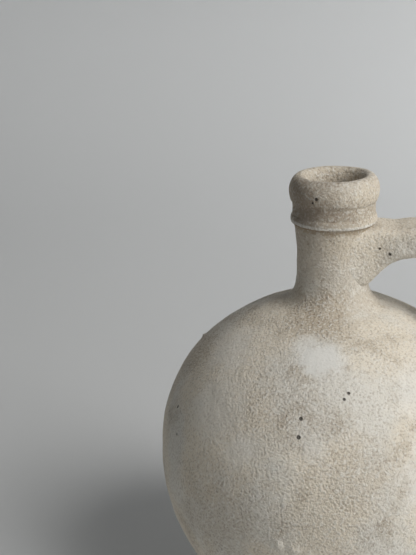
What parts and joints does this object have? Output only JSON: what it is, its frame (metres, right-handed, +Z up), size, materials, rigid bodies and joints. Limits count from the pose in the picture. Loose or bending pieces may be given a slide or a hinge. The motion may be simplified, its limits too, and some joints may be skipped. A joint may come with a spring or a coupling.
{
  "type": "one-handled clay jug vase",
  "caption": "Tall rounded clay jug vase with a narrow waisted neck, a thick rolled lip and one broad strap handle.",
  "frame": {"origin": "centre of the foot, on the surface that the jug stands on", "axes": "+Z up through the mouth, +X towards the handle"},
  "size_m": [0.254, 0.254, 0.345],
  "materials": {
    "slipped_clay": "matte, chalky slip over coarse clay",
    "lip_clay": "matte, worn and stained slip",
    "handle_clay": "matte, hand-smoothed slip",
    "bare_clay": "matte, bare clay"
  },
  "bodies": {
    "root": {"lower_body": "slipped_clay", "upper_body": "slipped_clay", "belly_seam_coil": "bare_clay", "neck": "slipped_clay", "neck_coil": "slipped_clay", "collar": "lip_clay", "string_ring": "lip_clay", "handle_strap": "handle_clay", "handle_upper_root": "handle_clay", "handle_lower_root": "handle_clay"}
  },
  "joints": []
}
